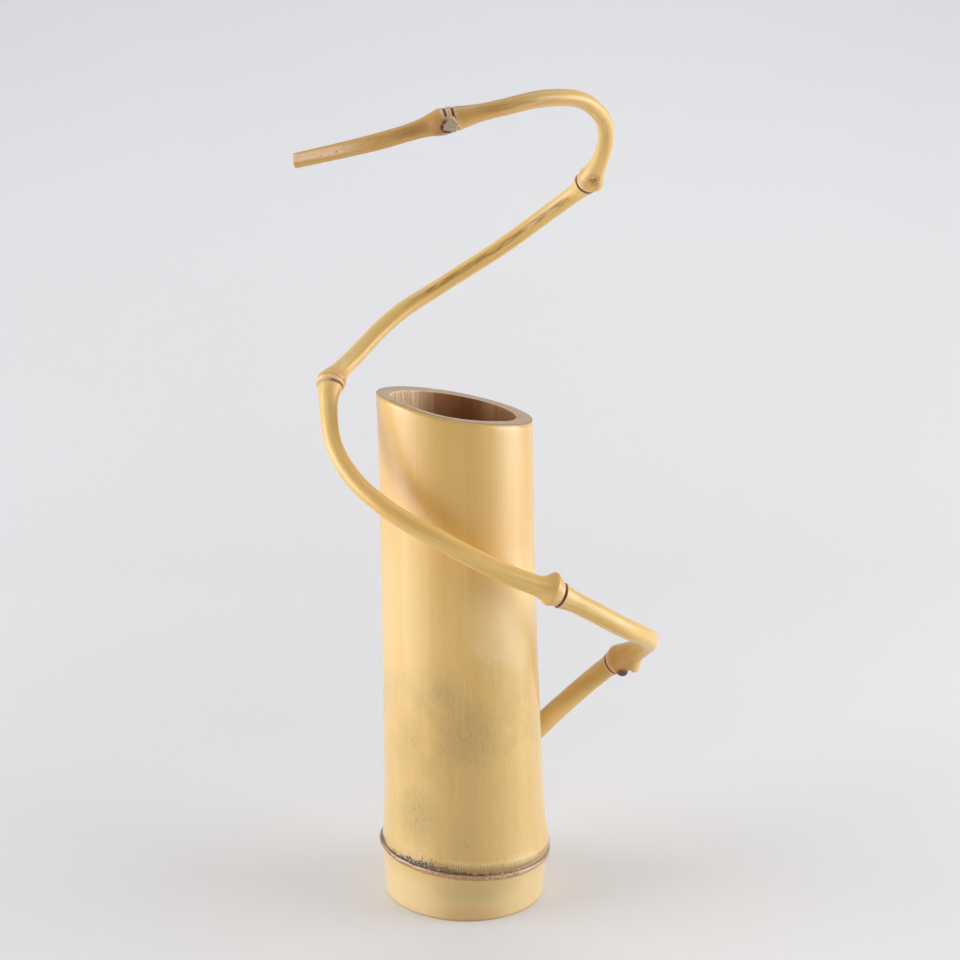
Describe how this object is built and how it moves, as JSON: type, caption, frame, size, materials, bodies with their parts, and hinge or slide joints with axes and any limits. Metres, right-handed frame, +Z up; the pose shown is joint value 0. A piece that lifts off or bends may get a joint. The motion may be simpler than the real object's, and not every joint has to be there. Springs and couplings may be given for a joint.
{
  "type": "bamboo flower vase",
  "caption": "Upright bamboo culm vase with a slanted mouth, a lift-out metal water tube and a thin bamboo branch winding up around it and over the top",
  "frame": {"origin": "centre of the culm's foot on the table", "axes": "+Z up, the front of the vase faces -Y, the branch leaves the culm at the back right and its tip points to -X"},
  "size_m": [0.1629, 0.1022, 0.3814],
  "materials": {
    "culm_bamboo": "satin",
    "branch_bamboo": "satin",
    "tube_metal": "brushed"
  },
  "bodies": {
    "vase": {"culm": "culm_bamboo", "branch_foot": "branch_bamboo", "branch_bend": "branch_bamboo", "branch_front": "branch_bamboo", "branch_back": "branch_bamboo", "branch_crook": "branch_bamboo", "branch_tip": "branch_bamboo"},
    "tube": {"water_tube": "tube_metal", "tube_base": "tube_metal"}
  },
  "joints": [
    {"name": "tube_lift", "type": "slide", "parent": "vase", "child": "tube", "axis": [-0.0227, 0, 0.9997], "range_m": [0, 0.25]}
  ]
}
